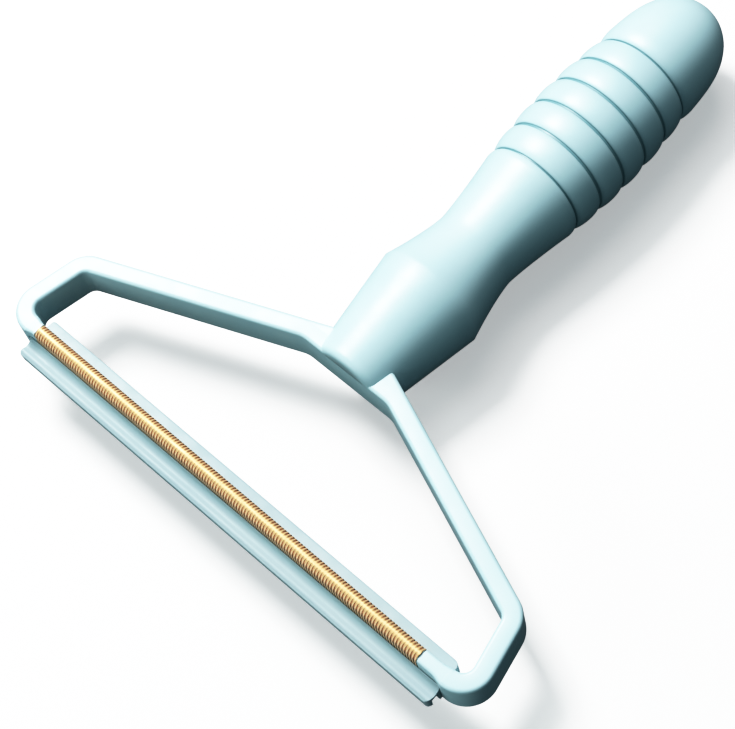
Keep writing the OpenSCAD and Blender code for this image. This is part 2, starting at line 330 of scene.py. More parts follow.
@dataclass(frozen=True)
class RolledCopper:
    """Bright rolled copper, with a painted crest tone set by height and painted shade between its
    ribs.

    Places are in metres: crest_z is where the painted crest tone starts and is full, gap_z the same
    for the lighter upper part of the painted shade in the gaps, far_y where that shade darkens
    behind the crest, axis the Y and Z of the line that the sheet is folded round, and depth how far
    from it the gaps end and the ribs start.
    """

    name: str
    # Crest and flank colours are painted light: the darker crest colour tones down the crest's
    # highlight
    crest: Colour
    flank: Colour
    tarnish: Colour
    # Colours of the painted shade in the gaps between the ribs, lighter high up and darker low down
    gap_high: Colour
    gap_low: Colour
    crest_z: tuple[float, float]
    gap_z: tuple[float, float]
    far_y: tuple[float, float]
    axis: tuple[float, float]
    depth: tuple[float, float]
    metallic: float = 0.65
    roughness: tuple[float, float] = (0.48, 0.64)
    scratch_depth: float = 0.00001

    def make(self) -> bpy.types.Material:
        """Builds the material.

        Returns:
            The finished material.
        """
        g = Graph(self.name)
        shader = g.add("ShaderNodeBsdfPrincipled")
        shader.inputs["Metallic"].default_value = self.metallic
        split = g.add("ShaderNodeSeparateXYZ")
        g.join(g.place((1.0, 1.0, 1.0)), split.inputs["Vector"])
        # Painted light: the colour goes from the flank colour to the darker crest colour with
        # height, toning down the crest's highlight
        height = g.remap(split.outputs["Z"], self.crest_z, (0.0, 1.0))
        spots = g.remap(g.noise((420.0, 900.0, 900.0), 5.0, 0.65), (0.5, 0.8), (0.0, 0.4))
        # Random tarnish spots over the painted crest tone
        tarnish_and_crest_tone = g.blend(spots, g.blend(height, self.flank, self.crest), self.tarnish)
        # Painted shade in the gaps between the ribs: lighter high up, darker low down and behind
        # the crest
        ribs = g.remap(self.away(g, split), self.depth, (1.0, 0.0))
        lit = g.remap(split.outputs["Z"], self.gap_z, (0.0, 1.0))
        far = g.remap(split.outputs["Y"], self.far_y, (0.0, 1.0))
        gap = g.blend(far, g.blend(lit, self.gap_low, self.gap_high), self.gap_low)
        g.join(g.blend(ribs, tarnish_and_crest_tone, gap), shader.inputs["Base Color"])
        rubbed = g.noise((260.0, 2400.0, 2400.0), 4.0)
        g.join(g.remap(rubbed, (0.3, 0.7), self.roughness), shader.inputs["Roughness"])
        scratches = g.bump(g.noise((500.0, 9000.0, 9000.0), 3.0), 0.1, self.scratch_depth)
        g.join(scratches, shader.inputs["Normal"])
        g.join(shader.outputs["BSDF"], g.output.inputs["Surface"])
        return g.material

    def away(self, g: Graph, split: bpy.types.Node) -> bpy.types.NodeSocket:
        """Measures how far a point is from the line that the sheet is folded round.

        Args:
            g: The material's graph.
            split: Node with the point's coordinates.

        Returns:
            The socket with the distance; on the straight legs, the distance from their middle.
        """
        side = g.compute("SUBTRACT", split.outputs["Y"], self.axis[0])
        rise = g.compute("SUBTRACT", split.outputs["Z"], self.axis[1])
        both = g.add("ShaderNodeCombineXYZ")
        g.join(side, both.inputs["X"])
        g.join(g.compute("MAXIMUM", rise, 0.0), both.inputs["Y"])
        length = g.add("ShaderNodeVectorMath", operation="LENGTH")
        g.join(both.outputs[0], length.inputs[0])
        return length.outputs["Value"]


@dataclass(frozen=True)
class PaleFloor:
    """Plain matt table that glows faintly to the camera and sends little light upwards."""

    name: str
    colour: Colour
    bounce: Colour
    glow: float

    def make(self) -> bpy.types.Material:
        """Builds the material.

        Returns:
            The finished material.
        """
        g = Graph(self.name)
        matt = g.add("ShaderNodeBsdfDiffuse")
        matt.inputs["Color"].default_value = (*self.colour, 1.0)
        glow = g.add("ShaderNodeEmission")
        glow.inputs["Strength"].default_value = self.glow
        seen = g.add("ShaderNodeAddShader")
        g.join(matt.outputs[0], seen.inputs[0])
        g.join(glow.outputs[0], seen.inputs[1])
        sent = g.add("ShaderNodeBsdfDiffuse")
        sent.inputs["Color"].default_value = (*self.bounce, 1.0)
        mix = g.add("ShaderNodeMixShader")
        g.join(g.add("ShaderNodeLightPath").outputs["Is Camera Ray"], mix.inputs[0])
        g.join(sent.outputs[0], mix.inputs[1])
        g.join(seen.outputs[0], mix.inputs[2])
        g.join(mix.outputs[0], g.output.inputs["Surface"])
        return g.material


# ---- Shaping ----


class Form:
    """A mesh under construction, in millimetres."""

    def __init__(self) -> None:
        """Starts with nothing."""
        self.bm = bmesh.new()

    def rounded_section(
        self, width: float, depth: float, radius: float, where: Matrix, steps: int = 6
    ) -> bmesh.types.BMFace:
        """Draws a rectangle with rounded corners.

        Args:
            width: Size along the section's own X.
            depth: Size along the section's own Y.
            radius: Radius of the corners.
            where: Takes the section to its place.
            steps: Number of faces round each corner.

        Returns:
            The section's face.
        """
        made = bmesh.ops.create_grid(self.bm, x_segments=1, y_segments=1, size=0.5)
        bmesh.ops.scale(self.bm, vec=(width, depth, 1.0), verts=made["verts"])
        known = set(self.bm.verts) - set(made["verts"])
        bmesh.ops.bevel(
            self.bm,
            geom=made["verts"],
            affect="VERTICES",
            offset=radius,
            segments=steps,
            profile=0.5,
            material=-1,
        )
        corners = [v for v in self.bm.verts if v not in known]
        bmesh.ops.transform(self.bm, matrix=where, verts=corners)
        return max((f for v in corners for f in v.link_faces), key=lambda f: len(f.verts))

    def outline_section(self, points: list[Vector]) -> bmesh.types.BMFace:
        """Draws a flat face with the given corners.

        Args:
            points: Corners in order.

        Returns:
            The section's face.
        """
        return self.bm.faces.new([self.bm.verts.new(p) for p in points])

    def run(self, face: bmesh.types.BMFace, offset: Vector) -> bmesh.types.BMFace:
        """Extrudes a face in a straight line.

        Args:
            face: The face to extrude.
            offset: Where it goes.

        Returns:
            The face at the far end.
        """
        made = bmesh.ops.extrude_face_region(self.bm, geom=self.whole(face))["geom"]
        corners = [e for e in made if isinstance(e, bmesh.types.BMVert)]
        bmesh.ops.translate(self.bm, vec=offset, verts=corners)
        return self.far_face(made)

    def turn(
        self, face: bmesh.types.BMFace, centre: Vector, angle: float, steps: int
    ) -> bmesh.types.BMFace:
        """Extrudes a face round an upright axis.

        Args:
            face: The face to extrude.
            centre: A point on the axis.
            angle: How far it turns, in radians.
            steps: Number of steps.

        Returns:
            The face at the far end.
        """
        made = bmesh.ops.spin(
            self.bm,
            geom=self.whole(face),
            cent=centre,
            axis=(0, 0, 1),
            angle=angle,
            steps=steps,
        )["geom_last"]
        return self.far_face(made)

    @staticmethod
    def whole(face: bmesh.types.BMFace) -> list[Element]:
        """Lists a face with its edges and corners, so that no copy of it stays inside."""
        return [face] + list(face.edges) + list(face.verts)

    @staticmethod
    def far_face(made: list[Element]) -> bmesh.types.BMFace:
        """Finds the face whose corners are all the corners in a list of new elements."""
        corners = {e for e in made if isinstance(e, bmesh.types.BMVert)}
        return next(f for v in corners for f in v.link_faces if set(f.verts) == corners)

    def soften(self, edges: list[bmesh.types.BMEdge], radius: float, steps: int = 6) -> None:
        """Rounds edges.

        Args:
            edges: The edges to round.
            radius: How far the rounding reaches.
            steps: Number of faces across it.
        """
        bmesh.ops.bevel(
            self.bm,
            geom=edges,
            affect="EDGES",
            offset=radius,
            segments=steps,
            profile=0.5,
            material=-1,
        )

    def lathe(self, profile: Outline, steps: int) -> None:
        """Spins an outline, which starts and ends on the grip's axis, once round it.

        Args:
            profile: Points as radius and distance along the grip.
            steps: Number of steps round.
        """
        points = [self.bm.verts.new((r, y, 0.0)) for r, y in profile]
        edges = [self.bm.edges.new(pair) for pair in zip(points, points[1:])]
        bmesh.ops.spin(
            self.bm,
            geom=points + edges,
            cent=(0, 0, 0),
            axis=(0, 1, 0),
            angle=2 * math.pi,
            steps=steps,
            use_merge=True,
        )
        bmesh.ops.remove_doubles(self.bm, verts=self.bm.verts, dist=1e-4)

    def finish(self, name: str, sharp_deg: float) -> bpy.types.Object:
        """Makes the object in its place, in metres, smooth apart from its sharp edges.

        Args:
            name: The piece's name.
            sharp_deg: Angle past which an edge stays sharp.

        Returns:
            The finished object.
        """
        bmesh.ops.translate(self.bm, vec=(0, BAR_Y, AXIS_Z), verts=self.bm.verts)
        bmesh.ops.recalc_face_normals(self.bm, faces=self.bm.faces)
        bmesh.ops.scale(self.bm, vec=(MM, MM, MM), verts=self.bm.verts)
        mesh = bpy.data.meshes.new(name)
        self.bm.to_mesh(mesh)
        self.bm.free()
        mesh.shade_smooth()
        mesh.set_sharp_from_angle(angle=math.radians(sharp_deg))
        piece = bpy.data.objects.new(name, mesh)
        bpy.context.scene.collection.objects.link(piece)
        return piece


def open_edges(mesh: bpy.types.Mesh) -> int:
    """Counts the edges that don't join exactly two faces."""
    bm = bmesh.new()
    bm.from_mesh(mesh)
    count = sum(1 for e in bm.edges if not e.is_manifold)
    bm.free()
    return count


def dress(
    piece: bpy.types.Object, finish: bpy.types.Material, body: Body, slot: Slot, *nodes: str
) -> None:
    """Gives a piece its finish, its body and the nodes that it stands for.

    Args:
        piece: The finished piece.
        finish: Its material.
        body: The body it moves with.
        slot: The record's slot for its finish; not used.
        nodes: Solid nodes that it replaces.
    """
    piece.data.materials.append(finish)
    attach(piece, body.value)
    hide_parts(*nodes)
    mesh = piece.data
    LOG.info("%s: %d faces, %d open edges", piece.name, len(mesh.polygons), open_edges(mesh))


# ---- Sub-assemblies ----


@dataclass
class LoopFrame:
    """Flat loop with its front bar, two corners, two arms and the short bar at the grip.

    Heights are above the bar's axis, and places along Y are from the bar's middle line.
    """

    base_w: float = 138.8
    shoulder_w: float = 130.6
    side_h: float = 18.6
    arm_rise: float = 20.3
    neck_flat_w: float = 26.4
    band_w: float = 4.5
    band_d: float = 9.9
    band_lift: float = 1.05
    edge_r: float = 0.9
    corner_r: float = 7.0
    neck_bend_r: float = 7.0
    web_w: float = 2.6
    web_r: float = 1.05
    web_stop: float = 0.5
    web_bottom: float = 1.3
    web_steps: int = 8
    step: float = 0.01  # Keeps faces that would share a plane apart
    shoulder_half: float = 1.7
    shoulder_flare: float = 1.06
    shoulder_run: float = 3.2
    shoulder_lap: float = 0.6
    shoulder_r: float = 0.85
    shoulder_steps: int = 12
    shoulder_bottom: float = 2.78
    shoulder_left: float = -60.6
    shoulder_right: float = 56.5
    filler_h: float = 5.0
    filler_r: float = 0.3
    filler_gap: float = 0.05
    gusset_run: float = 6.5
    gusset_lap: float = 3.0
    tang_len: float = 36.0
    tang_w: float = 12.3
    tang_edge_r: float = 0.8
    tang_steps: int = 4
    turn_deg: float = 6.0  # Turn that each face of a corner takes
    sharp_deg: float = 40.0

    def corners(self) -> list[Vector]:
        """Lists the loop's corners from the right end of the bar to the left one."""
        right = [
            Vector((self.base_w / 2, 0, 0)),
            Vector((self.shoulder_w / 2, self.side_h, 0)),
            Vector((self.neck_flat_w / 2, self.neck_y(), 0)),
        ]
        return right + mirrored(right)

    def neck_y(self) -> float:
        """Gives the place of the short bar's middle line."""
        return self.side_h + self.arm_rise

    def top(self) -> float:
        """Gives the height of the band's top above the axis."""
        return self.band_lift + self.band_d / 2

    def bottom(self) -> float:
        """Gives the height of the band's underside above the axis."""
        return self.band_lift - self.band_d / 2

    def radii(self) -> list[float]:
        """Lists the centre line's radius at each corner."""
        wide = self.corner_r - self.band_w / 2
        neck = self.neck_bend_r + self.band_w / 2
        return [wide, wide, neck, neck, wide, wide]

    def web_end(self) -> float:
        """Gives the distance from the middle to the end of the thin web."""
        first = self.corners()
        side = (first[1] - first[0]).normalized()
        turn = Vector((1, 0, 0)).angle(side)
        return self.base_w / 2 - self.radii()[0] * math.tan(turn / 2) - self.web_stop

    def sweep_band(self, form: Form) -> None:
        """Sweeps the band's section round the loop.

        Args:
            form: The mesh to add to.
        """
        start = Vector((self.web_end(), 0, 0))
        lift = Matrix.Translation(start + Vector((0, 0, self.band_lift)))
        face = form.rounded_section(self.band_w, self.band_d, self.edge_r, lift @ SECTION_YZ)
        place = start
        path = self.corners() + [Vector((-start.x, 0, 0))]
        for index, radius in enumerate(self.radii()):
            ahead = (path[index] - place).normalized()
            after = (path[index + 1] - path[index]).normalized()
            turn = ahead.angle(after)
            cut = radius * math.tan(turn / 2)
            face = form.run(face, path[index] - ahead * cut - place)
            centre = path[index] - ahead * cut + Vector((-ahead.y, ahead.x, 0)) * radius
            steps = max(6, round(math.degrees(turn) / self.turn_deg))
            face = form.turn(face, centre, turn, steps)
            place = path[index] + after * cut
        form.run(face, path[-1] - place)

    def add_web(self, form: Form) -> None:
        """Adds the thin web that the copper is folded over.

        Args:
            form: The mesh to add to.
        """
        half = self.web_end() + self.web_stop / 2
        top = self.top() - 3 * self.step
        bottom = self.bottom() + self.web_bottom
        place = Matrix.Translation((-half, 0, (top + bottom) / 2)) @ SECTION_YZ
        face = form.rounded_section(self.web_w, top - bottom, self.web_r, place, self.web_steps)
        form.run(face, Vector((2 * half, 0, 0)))

    def add_shoulders(self, form: Form) -> None:
        """Adds the shoulders that narrow from the bar's ends to the ends of the copper.

        Under each shoulder, a filler closes the gap between it and the guard's floor.

        Args:
            form: The mesh to add to.
        """
        top = self.top() - self.step
        depth = top - self.shoulder_bottom
        narrow = 2 * self.shoulder_half
        start = self.web_end() + self.shoulder_lap
        steps = self.shoulder_steps
        widths = [narrow + self.shoulder_flare * (1 - ease(k, 0, steps)) for k in range(steps + 1)]
        for sign, stop in ((1, self.shoulder_right), (-1, self.shoulder_left)):
            mirror = Matrix.Diagonal((sign, 1, 1, 1))
            place = Matrix.Translation((start, 0, top - depth / 2)) @ SECTION_YZ
            face = form.rounded_section(widths[0], depth, self.shoulder_r, mirror @ place)
            run = min(self.shoulder_run, start - abs(stop)) / steps
            for here, after in zip(widths, widths[1:]):
                face = form.run(face, Vector((-sign * run, 0, 0)))
                bmesh.ops.scale(form.bm, vec=(1, after / here, 1), verts=list(face.verts))
            form.run(face, Vector((stop - face.calc_center_median().x, 0, 0)))
            depth_under = self.filler_h + self.edge_r
            middle = self.shoulder_bottom + self.edge_r - depth_under / 2
            place = Matrix.Translation((start, 0, middle)) @ SECTION_YZ
            face = form.rounded_section(narrow, depth_under, self.filler_r, mirror @ place)
            form.run(face, Vector((stop + sign * (self.filler_gap - start), 0, 0)))

    def add_gusset(self, form: Form) -> None:
        """Adds the gusset that carries the arms' outer edges straight into the grip.

        Args:
            form: The mesh to add to.
        """
        arm, neck = self.corners()[1:3]
        along = (arm - neck).normalized()
        out = Vector((-along.y, along.x, 0)) * (self.band_w / 2 - self.step)
        inner, outer = neck - along * self.gusset_run + out, neck + along * self.gusset_lap + out
        right = [p + Vector((0, 0, self.bottom() + self.step)) for p in (neck, outer, inner)]
        low = form.outline_section(right + mirrored(right))
        lows = list(low.edges)
        high = form.run(low, Vector((0, 0, self.band_d - 2 * self.step)))
        long = (outer - inner).length
        rims = [e for e in lows + list(high.edges) if abs(e.calc_length() - long) < self.step]
        form.soften(rims, self.edge_r)

    def add_tang(self, form: Form) -> None:
        """Adds the tang that holds the grip.

        Args:
            form: The mesh to add to.
        """
        depth = self.band_d - 2 * self.edge_r
        place = Matrix.Translation((0, self.neck_y(), self.band_lift)) @ SECTION_XZ
        face = form.rounded_section(self.tang_w, depth, self.tang_edge_r, place, self.tang_steps)
        form.run(face, Vector((0, self.tang_len, 0)))

    def build(self, finish: bpy.types.Material) -> bpy.types.Object:
        """Builds the frame.

        Args:
            finish: Its plastic.

        Returns:
            The finished frame.
        """
        form = Form()
        self.sweep_band(form)
        self.add_web(form)
        self.add_shoulders(form)
        self.add_gusset(form)
        self.add_tang(form)
        piece = form.finish("loop_frame", self.sharp_deg)
        dress(piece, finish, Body.HANDLE, Slot.PLASTIC, "frame")
        return piece


@dataclass
class RoundGrip:
    """Hollow grip with a collar, a waist and five rings, and its domed end cap."""

    neck_y: float = 36.6
    neck_r: float = 9.9
    rim_r: float = 1.8
    ridge_run: float = 26.8
    ridge_r: float = 13.75
    waist_run: float = 15.4
    waist_r: float = 10.55
    tube_run: float = 20.0
    tube_r: float = 12.95
    ring_count: int = 5
    ring_pitch: float = 7.46
    ring_r: float = 14.5
    ring_drop: float = 1.3
    groove_d: float = 0.9
    groove_w: float = 0.07  # Share of a ring's pitch
    ring_power: float = 2.2
    collar_kinks: tuple[float, ...] = (1.5, 2.6, 3.3, 6.0, 10.0, 15.0, 20.0)
    collar_power: float = 1.4
    tube_power: float = 1.3
    hollow_r: float = 11.1
    bore_r: float = 7.5
    bore_start: float = 38.9
    bore_end: float = 80.8
    hollow_lead: float = 4.0
    dome_len: float = 23.8
    dome_r: float = 13.3
    dome_taper: float = 1.4
    dome_power: float = 3.2
    dome_shoulder: float = 3.332
    spigot_len: float = 9.0
    cap_wall: float = 1.7
    plug_gap: float = 0.05
    slot_w: float = 40.0
    slot_bottom: float = -20.0
    slot_top: float = 5.2
    slot_back: float = 41.23
    slot_lead: float = 4.0
    # Painted shade in the grooves: the sinking below the crest where it grows and where it fades
    # out, and its reach past the rings
    groove_shade_sunk: tuple[float, float] = (0.4, 0.85)
    groove_shade_reach: tuple[float, float] = (-2.0, -1.2)
    groove_shade_margin: float = 2.0
    steps_round: int = 160
    fine: int = 16
    coarse: int = 8
    sharp_deg: float = 32.0
    ring_y: float = field(init=False)
    ring_end: float = field(init=False)

    def __post_init__(self) -> None:
        """Works out where the rings start and end."""
        self.ring_y = self.neck_y + self.ridge_run + self.waist_run + self.tube_run
        self.ring_end = self.ring_y + self.rings_run()

    def rings_run(self) -> float:
        """Gives the length of all rings together."""
        return self.ring_count * self.ring_pitch

    def crest(self, y: float) -> float:
        """Gives the rings' largest radius at a place along the grip."""
        half = self.rings_run() / 2
        return self.ring_r - self.ring_drop * ((y - self.ring_y - half) / half) ** 2

    def bulge(self, t: float) -> float:
        """Gives a ring's rounding, 0 in its grooves and 1 on its crest."""
        return math.sqrt(max(0.0, 1 - abs(2 * t - 1) ** self.ring_power))

    def turns(self) -> list[float]:
        """Lists the angles of a quarter turn, with both of its ends."""
        return [math.pi / 2 * k / self.coarse for k in range(self.coarse + 1)]

    def end_groove(self) -> float:
        """Gives the radius at the bottom of the last groove."""
        return self.crest(self.ring_end) - self.groove_d

    def rim(self) -> Outline:
        """Draws the rounded rim at the open end."""
        return [
            (
                self.neck_r - self.rim_r * (1 - math.sin(a)),
                self.neck_y + self.rim_r * (1 - math.cos(a)),
            )
            for a in self.turns()
        ]

    def collar(self) -> Outline:
        """Draws the collar from the rim over its ridge down to the waist."""
        low, top = self.neck_y + self.rim_r, self.neck_y + self.ridge_run
        spread = self.ridge_r - self.waist_r
        slope = (self.ridge_r - self.neck_r) / (top - low)
        rise = [(self.neck_r + slope * d, low + d) for d in self.collar_kinks]
        shares = [k / self.fine for k in range(self.fine)]
        return rise + [
            (self.waist_r + spread * (1 - u) ** self.collar_power, top + self.waist_run * u)
            for u in shares
        ]

    def tube(self) -> Outline:
        """Draws the tube from the waist to the first groove."""
        start = self.neck_y + self.ridge_run + self.waist_run
        shoulder = self.ring_pitch / 4
        length = self.tube_run - shoulder
        spread = self.tube_r - self.waist_r
        shares = [k / self.fine for k in range(self.fine + 1)]
        rise = [(self.waist_r + spread * u**self.tube_power, start + length * u) for u in shares]
        drop = self.tube_r - self.end_groove()
        fall = [
            (self.tube_r - drop * (1 - self.bulge(0.5 + t / 2)), start + length + t * shoulder)
            for t in map(math.sin, self.turns()[1:-1])
        ]
        return rise + fall

    def rings(self) -> Outline:
        """Draws the rings from the first groove to the last."""
        points = []
        for index in range(self.ring_count):
            y = self.ring_y + index * self.ring_pitch
            points.append((self.crest(y) - self.groove_d, y))
            for k in range(2 * self.fine + 1):
                t = (1 - math.cos(math.pi * k / (2 * self.fine))) / 2
                share = self.groove_w / 2 + t * (1 - self.groove_w)
                y = self.ring_y + (index + share) * self.ring_pitch
                points.append((self.crest(y) - self.groove_d * (1 - self.bulge(t)), y))
        return points + [(self.end_groove(), self.ring_end)]

    def groove_shade(self, piece: bpy.types.Object) -> None:
        """Marks the grooves between the rings for painted shade.

        Args:
            piece: A piece of the grip.
        """
        mark = piece.data.attributes.new(GROOVE_SHADE, "FLOAT", "POINT")
        for vert in piece.data.vertices:
            place = vert.co / MM - Vector((0, BAR_Y, AXIS_Z))
            if -self.groove_shade_margin < place.y - self.ring_y < self.groove_shade_margin + self.rings_run():
                sunk = self.crest(place.y) - math.hypot(place.x, place.z)
                share = ease(sunk, *self.groove_shade_sunk) * ease(-sunk, *self.groove_shade_reach)
                mark.data[vert.index].value = share

    def dome(self, wall: float) -> Outline:
        """Draws the dome from its shoulder to its tip.

        Args:
            wall: How far inside the outer surface to draw it.

        Returns:
            Points as radius and distance along the grip.
        """
        start = self.ring_end + self.dome_shoulder
        run = self.dome_len - self.dome_shoulder - wall
        points = []
        for k in range(2 * self.fine + 1):
            u = math.sin(math.pi * k / (4 * self.fine))
            round_off = math.sqrt(max(0.0, 1 - u**self.dome_power))
            outer = (self.dome_r - self.dome_taper * u) * round_off
            points.append((max(0.0, outer - wall * (1 - u)), start + u * run))
        return points

    def dome_rise(self) -> Outline:
        """Draws the dome's rounded start behind the last groove."""
        spread = self.dome_r - self.end_groove()
        return [
            (self.dome_r - spread * (1 - self.bulge(t / 2)), self.ring_end + t * self.dome_shoulder)
            for t in (1 - math.cos(a) for a in self.turns()[:-1])
        ]

    def build_grip(self, finish: bpy.types.Material) -> bpy.types.Object:
        """Builds the grip, slotted where the frame's short bar enters it.

        Args:
            finish: Its plastic.

        Returns:
            The finished grip.
        """
        inside = [
            (self.hollow_r, self.ring_end),
            (self.hollow_r, self.ring_y - self.hollow_lead),
            (self.bore_r, self.bore_end),
            (self.bore_r, self.bore_start),
            (0.0, self.bore_start),
        ]
        profile = [(0.0, self.neck_y)] + self.rim() + self.collar() + self.tube() + self.rings()
        form = Form()
        form.lathe(profile + inside, self.steps_round)
        piece = form.finish("round_grip", self.sharp_deg)
        self.cut_slot(piece)
        # Marks the grooves for painted shade
        self.groove_shade(piece)
        dress(piece, finish, Body.HANDLE, Slot.PLASTIC, "grip")
        return piece

    def cut_slot(self, piece: bpy.types.Object) -> None:
        """Cuts the slot for the frame's short bar out of the grip.

        Args:
            piece: The grip.
        """
        form = Form()
        bmesh.ops.create_cube(form.bm, size=1.0)
        run, depth = self.slot_back - self.neck_y + self.slot_lead, self.slot_top - self.slot_bottom
        bmesh.ops.scale(form.bm, vec=(self.slot_w, run, depth), verts=form.bm.verts)
        middle = (0, self.slot_back - run / 2, self.slot_top - depth / 2)
        bmesh.ops.translate(form.bm, vec=middle, verts=form.bm.verts)
        cutter = form.finish("slot_cutter", self.sharp_deg)
        cut = piece.modifiers.new("slot", "BOOLEAN")
        cut.operation = "DIFFERENCE"
        cut.solver = "EXACT"
        cut.object = cutter
        bpy.context.view_layer.update()
        done = bpy.data.meshes.new_from_object(
            piece.evaluated_get(bpy.context.evaluated_depsgraph_get())
        )
        piece.modifiers.remove(cut)
        piece.data = done
        bpy.data.objects.remove(cutter)

    def build_cap(self, finish: bpy.types.Material) -> bpy.types.Object:
        """Builds the domed end cap with its spigot.

        Args:
            finish: Its plastic.

        Returns:
            The finished cap.
        """
        spigot_r = self.hollow_r - self.plug_gap
        inner_r = spigot_r - self.cap_wall
        spigot_y = self.ring_end - self.spigot_len
        outside = self.dome(0.0)[::-1] + self.dome_rise()[::-1]
        spigot = [(spigot_r, self.ring_end), (spigot_r, spigot_y), (inner_r, spigot_y)]
        inside = [(r, y) for r, y in self.dome(self.cap_wall) if r < inner_r]
        form = Form()
        form.lathe(outside + spigot + inside, self.steps_round)
        piece = form.finish("domed_cap", self.sharp_deg)
        # Marks the grooves for painted shade
        self.groove_shade(piece)
        dress(piece, finish, Body.HANDLE, Slot.PLASTIC, "end_cap")
        return piece


@dataclass
class CopperComb:
    """Thin ribbed copper sheet, folded over the web as an upside-down U."""

    left_x: float = -60.45
    right_x: float = 56.39
    pitch: float = 0.8
    outer_r: float = 1.75
    rib_h: float = 0.25
    sheet: float = 0.12
    arc_z: float = 4.7
    leg_bottom: float = -0.3
    smooth_deg: float = 12.0
    ribbed_deg: float = 36.0
    half_rib: tuple[tuple[float, float], ...] = ((0.14, 1.0), (0.2, 0.7), (0.245, 0.05))
    fold_steps: int = 18
    sharp_deg: float = 50.0

    def rib_outline(self) -> Outline:
        """Draws one rib as places along the bar and heights, from the gap before it."""
        left = [(-x, z) for x, z in reversed(self.half_rib)]
        return [(-self.pitch / 2, 0.0)] + left + list(self.half_rib)

    def build(self, finish: bpy.types.Material) -> bpy.types.Object:
        """Builds the comb.

        Args:
            finish: Its copper.

        Returns:
            The finished comb.
        """
        form = Form()
        count = int((self.right_x - self.left_x) / self.pitch)
        first = (self.left_x + self.right_x - (count - 1) * self.pitch) / 2
        line = []
        for index in range(count):
            centre = first + index * self.pitch
            for along, high in self.rib_outline():
                away = self.outer_r - self.rib_h * (1 - high)
                line.append(form.bm.verts.new((centre + along, away, self.leg_bottom)))
        edges = [form.bm.edges.new(pair) for pair in zip(line, line[1:])]
        up = self.arc_z - self.leg_bottom
        legs = self.raise_line(form, edges, Vector((0, 0, up)))
        spun = bmesh.ops.spin(
            form.bm,
            geom=legs,
            cent=(0, 0, self.arc_z),
            axis=(1, 0, 0),
            angle=math.pi,
            steps=self.fold_steps,
        )["geom_last"]
        self.raise_line(
            form, [e for e in spun if isinstance(e, bmesh.types.BMEdge)], Vector((0, 0, -up))
        )
        self.rub_crest(form)
        bmesh.ops.recalc_face_normals(form.bm, faces=form.bm.faces)
        top = max(form.bm.faces, key=lambda f: f.calc_center_median().z)
        if top.normal.z < 0:
            bmesh.ops.reverse_faces(form.bm, faces=form.bm.faces)
        bmesh.ops.solidify(form.bm, geom=form.bm.faces[:], thickness=self.sheet)
        piece = form.finish("copper_edge", self.sharp_deg)
        dress(piece, finish, Body.COMB, Slot.COPPER, "copper_comb")
        return piece

    @staticmethod
    def raise_line(
        form: Form, edges: list[bmesh.types.BMEdge], offset: Vector
    ) -> list[bmesh.types.BMEdge]:
        """Extrudes a line of edges.

        Args:
            form: The mesh.
            edges: The edges to extrude.
            offset: Where they go.

        Returns:
            The edges at the far end.
        """
        made = bmesh.ops.extrude_edge_only(form.bm, edges=edges)["geom"]
        bmesh.ops.translate(
            form.bm, vec=offset, verts=[e for e in made if isinstance(e, bmesh.types.BMVert)]
        )
        return [e for e in made if isinstance(e, bmesh.types.BMEdge)]

    def rub_crest(self, form: Form) -> None:
        """Fills the gaps between the ribs along the crest, where use has rubbed it flat.

        Args:
            form: The mesh.
        """
        for vert in form.bm.verts:
            if vert.co.z < self.arc_z:
                continue
            flat = Vector((0, vert.co.y, vert.co.z - self.arc_z))
            lean = abs(math.degrees(math.atan2(flat.y, flat.z)))
            keep = ease(lean, self.smooth_deg, self.ribbed_deg)
            away = self.outer_r + (flat.length - self.outer_r) * keep
            flat = flat.normalized() * away
            vert.co = Vector((vert.co.x, flat.y, flat.z + self.arc_z))


